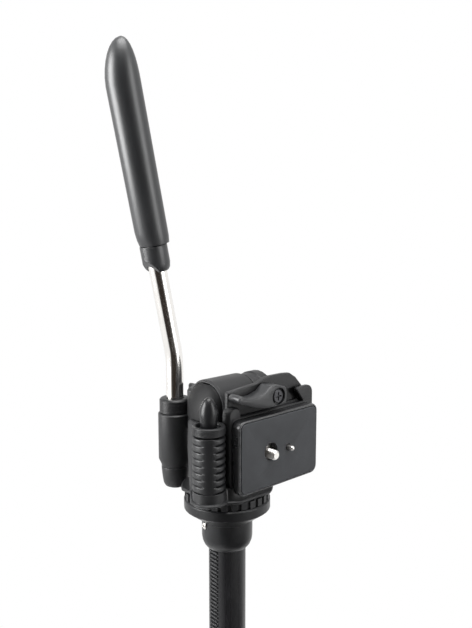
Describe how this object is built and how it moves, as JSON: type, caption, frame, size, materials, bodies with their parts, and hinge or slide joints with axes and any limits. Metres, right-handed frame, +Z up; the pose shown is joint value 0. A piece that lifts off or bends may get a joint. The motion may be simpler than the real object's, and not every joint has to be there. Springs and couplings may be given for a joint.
{
  "type": "video tripod",
  "caption": "Tripod with a three-way pan head, a sprung-pin camera plate, a geared centre column with crank, folding legs with clamped extensions and a spreader.",
  "frame": {"origin": "centre of the bounding box's underside, on the floor under the feet", "axes": "+X lens direction and leg 1, +Y away from the camera plate's face in the flipped pose, +Z up"},
  "size_m": [0.3493, 0.3994, 0.8769],
  "materials": {
    "black_plastic": "satin black moulded plastic",
    "black_steel": "black oxide steel screw",
    "black_tube": "satin black anodised tube",
    "chrome": "polished chrome plate",
    "grey_black_plastic": "satin dark grey moulded plastic",
    "grip_foam": "satin charcoal soft-touch grip",
    "rubber": "matt dark grey rubber",
    "steel": "bright zinc-plated steel"
  },
  "bodies": {
    "shoulder": {"shoulder": "black_plastic", "guide_tube": "black_tube", "leg_1_hinge_pin": "steel", "leg_2_hinge_pin": "steel", "leg_3_hinge_pin": "steel"},
    "column": {"centre_column": "black_tube", "gear_rack": "black_plastic", "column_cap": "black_plastic", "pan_cup": "black_plastic", "neck_screw": "steel", "pan_bolt": "steel"},
    "crank": {"crank_pinion": "steel", "crank_arm": "black_plastic"},
    "crank_knob": {"crank_knob": "black_plastic"},
    "column_lock": {"column_lock_knob": "black_plastic"},
    "spreader": {"spreader_hub": "black_plastic"},
    "pan_lock": {"pan_lock_ring": "black_plastic"},
    "pan": {"pan_body": "black_plastic"},
    "twist_sleeve": {"ribbed_sleeve": "rubber", "sleeve_collar": "black_plastic", "bullet_post": "black_plastic"},
    "tilt": {"tilt_body": "black_plastic", "tilt_cover": "black_plastic", "tilt_axle": "steel", "side_axle": "steel", "handle_barrel": "black_plastic", "barrel_cap": "black_plastic"},
    "handle": {"handle_collar": "black_plastic", "handle_tube": "chrome", "grip_sleeve": "black_plastic", "handle_grip": "grip_foam"},
    "platform": {"platform": "black_plastic", "lever_screw": "black_steel"},
    "side_lock": {"side_lock_knob": "black_plastic"},
    "plate": {"camera_plate": "black_plastic", "plate_pad": "rubber"},
    "camera_screw": {"camera_screw": "steel"},
    "video_pin": {"video_pin": "steel"},
    "plate_lever": {"plate_lever": "black_plastic"},
    "leg_1": {"leg_1_upper": "black_tube", "leg_1_clamp": "black_plastic"},
    "leg_1_lever": {"leg_1_clamp_lever": "grey_black_plastic"},
    "leg_1_lower": {"leg_1_lower": "black_tube", "leg_1_foot": "rubber"},
    "strut_1": {"leg_1_strut": "black_plastic"},
    "leg_2": {"leg_2_upper": "black_tube", "leg_2_clamp": "black_plastic"},
    "leg_2_lever": {"leg_2_clamp_lever": "grey_black_plastic"},
    "leg_2_lower": {"leg_2_lower": "black_tube", "leg_2_foot": "rubber"},
    "strut_2": {"leg_2_strut": "black_plastic"},
    "leg_3": {"leg_3_upper": "black_tube", "leg_3_clamp": "black_plastic"},
    "leg_3_lever": {"leg_3_clamp_lever": "grey_black_plastic"},
    "leg_3_lower": {"leg_3_lower": "black_tube", "leg_3_foot": "rubber"},
    "strut_3": {"leg_3_strut": "black_plastic"}
  },
  "joints": [
    {"name": "leg_1_fold", "type": "hinge", "parent": "shoulder", "child": "leg_1", "pos_m": [-0.01006, 0, 0.39864], "axis": [0, 1, 0], "range_deg": [0, 24]},
    {"name": "leg_2_fold", "type": "hinge", "parent": "shoulder", "child": "leg_2", "pos_m": [-0.07606, 0.0381, 0.39864], "axis": [-0.866, -0.5, 0], "range_deg": [0, 24]},
    {"name": "leg_3_fold", "type": "hinge", "parent": "shoulder", "child": "leg_3", "pos_m": [-0.07606, -0.0381, 0.39864], "axis": [0.866, -0.5, 0], "range_deg": [0, 24]},
    {"name": "leg_1_extend", "type": "slide", "parent": "leg_1", "child": "leg_1_lower", "axis": [0.4067, 0, -0.9135], "range_m": [0, 0.285]},
    {"name": "leg_1_lever_flip", "type": "hinge", "parent": "leg_1", "child": "leg_1_lever", "pos_m": [0.15378, 0, 0.07366], "axis": [0, -1, 0], "range_deg": [0, 120]},
    {"name": "leg_2_extend", "type": "slide", "parent": "leg_2", "child": "leg_2_lower", "axis": [-0.2034, 0.3522, -0.9135], "range_m": [0, 0.285]},
    {"name": "leg_2_lever_flip", "type": "hinge", "parent": "leg_2", "child": "leg_2_lever", "pos_m": [-0.15798, 0.18, 0.07366], "axis": [0.866, 0.5, 0], "range_deg": [0, 120]},
    {"name": "leg_3_extend", "type": "slide", "parent": "leg_3", "child": "leg_3_lower", "axis": [-0.2034, -0.3522, -0.9135], "range_m": [0, 0.285]},
    {"name": "leg_3_lever_flip", "type": "hinge", "parent": "leg_3", "child": "leg_3_lever", "pos_m": [-0.15798, -0.18, 0.07366], "axis": [-0.866, 0.5, 0], "range_deg": [0, 120]},
    {"name": "spreader_slide", "type": "slide", "parent": "shoulder", "child": "spreader", "axis": [0, 0, 1], "range_m": [0, 0.02557]},
    {"name": "strut_1_swing", "type": "hinge", "parent": "spreader", "child": "strut_1", "pos_m": [-0.02906, 0, 0.29105], "axis": [0, 1, 0], "range_deg": [0, 44.98]},
    {"name": "strut_2_swing", "type": "hinge", "parent": "spreader", "child": "strut_2", "pos_m": [-0.06656, 0.02165, 0.29105], "axis": [-0.866, -0.5, 0], "range_deg": [0, 44.98]},
    {"name": "strut_3_swing", "type": "hinge", "parent": "spreader", "child": "strut_3", "pos_m": [-0.06656, -0.02165, 0.29105], "axis": [0.866, -0.5, 0], "range_deg": [0, 44.98]},
    {"name": "column_slide", "type": "slide", "parent": "shoulder", "child": "column", "axis": [0, 0, 1], "range_m": [-0.076, 0.06]},
    {"name": "crank_turn", "type": "hinge", "parent": "shoulder", "child": "crank", "pos_m": [-0.07341, 0, 0.45514], "axis": [0, -1, 0], "range_deg": [-585.62, 462.54]},
    {"name": "crank_knob_spin", "type": "hinge", "parent": "crank", "child": "crank_knob", "pos_m": [-0.07341, 0, 0.42514], "axis": [0, -1, 0], "continuous": true},
    {"name": "column_lock_turn", "type": "hinge", "parent": "shoulder", "child": "column_lock", "pos_m": [-0.05406, 0, 0.45514], "axis": [0.5, 0.866, 0], "range_deg": [0, 270]},
    {"name": "pan_lock_turn", "type": "hinge", "parent": "column", "child": "pan_lock", "pos_m": [-0.05406, 0, 0.59514], "axis": [0, 0, 1], "range_deg": [0, 45]},
    {"name": "pan_turn", "type": "hinge", "parent": "column", "child": "pan", "pos_m": [-0.05406, 0, 0.59514], "axis": [0, 0, 1], "continuous": true},
    {"name": "sleeve_twist", "type": "hinge", "parent": "pan", "child": "twist_sleeve", "pos_m": [-0.08086, -0.0137, 0.59514], "axis": [0, 0, 1], "range_deg": [-90, 90]},
    {"name": "tilt_turn", "type": "hinge", "parent": "pan", "child": "tilt", "pos_m": [-0.05756, 0, 0.65514], "axis": [0, -1, 0], "range_deg": [0, 30]},
    {"name": "handle_twist", "type": "hinge", "parent": "tilt", "child": "handle", "pos_m": [-0.06686, 0.0372, 0.59514], "axis": [0, 0, 1], "range_deg": [-90, 90]},
    {"name": "side_flip", "type": "hinge", "parent": "tilt", "child": "platform", "pos_m": [-0.05406, 0.004, 0.65514], "axis": [-1, 0, 0], "range_deg": [0, 90]},
    {"name": "side_lock_turn", "type": "hinge", "parent": "platform", "child": "side_lock", "pos_m": [-0.05406, 0.004, 0.65514], "axis": [1, 0, 0], "range_deg": [0, 180]},
    {"name": "plate_release", "type": "slide", "parent": "platform", "child": "plate", "axis": [0, -1, 0], "range_m": [0, 0.012]},
    {"name": "camera_screw_spin", "type": "hinge", "parent": "plate", "child": "camera_screw", "pos_m": [-0.04216, 0, 0.62664], "axis": [0, -1, 0], "continuous": true},
    {"name": "video_pin_press", "type": "slide", "parent": "plate", "child": "video_pin", "axis": [0, 1, 0], "range_m": [0, 0.003], "stiffness_N_per_m": 150, "springref_m": -0.002},
    {"name": "lever_turn", "type": "hinge", "parent": "platform", "child": "plate_lever", "pos_m": [-0.03486, 0, 0.66174], "axis": [0, 1, 0], "range_deg": [0, 60]}
  ],
  "couplings": [
    {"joint": "leg_2_fold", "follows": "leg_1_fold", "ratio": 1},
    {"joint": "leg_3_fold", "follows": "leg_1_fold", "ratio": 1},
    {"joint": "spreader_slide", "follows": "leg_1_fold", "m_per_rad": 0.061043},
    {"joint": "strut_1_swing", "follows": "leg_1_fold", "ratio": 1.8743},
    {"joint": "strut_2_swing", "follows": "leg_1_fold", "ratio": 1.8743},
    {"joint": "strut_3_swing", "follows": "leg_1_fold", "ratio": 1.8743},
    {"joint": "crank_turn", "follows": "column_slide", "rad_per_m": 134.26}
  ]
}
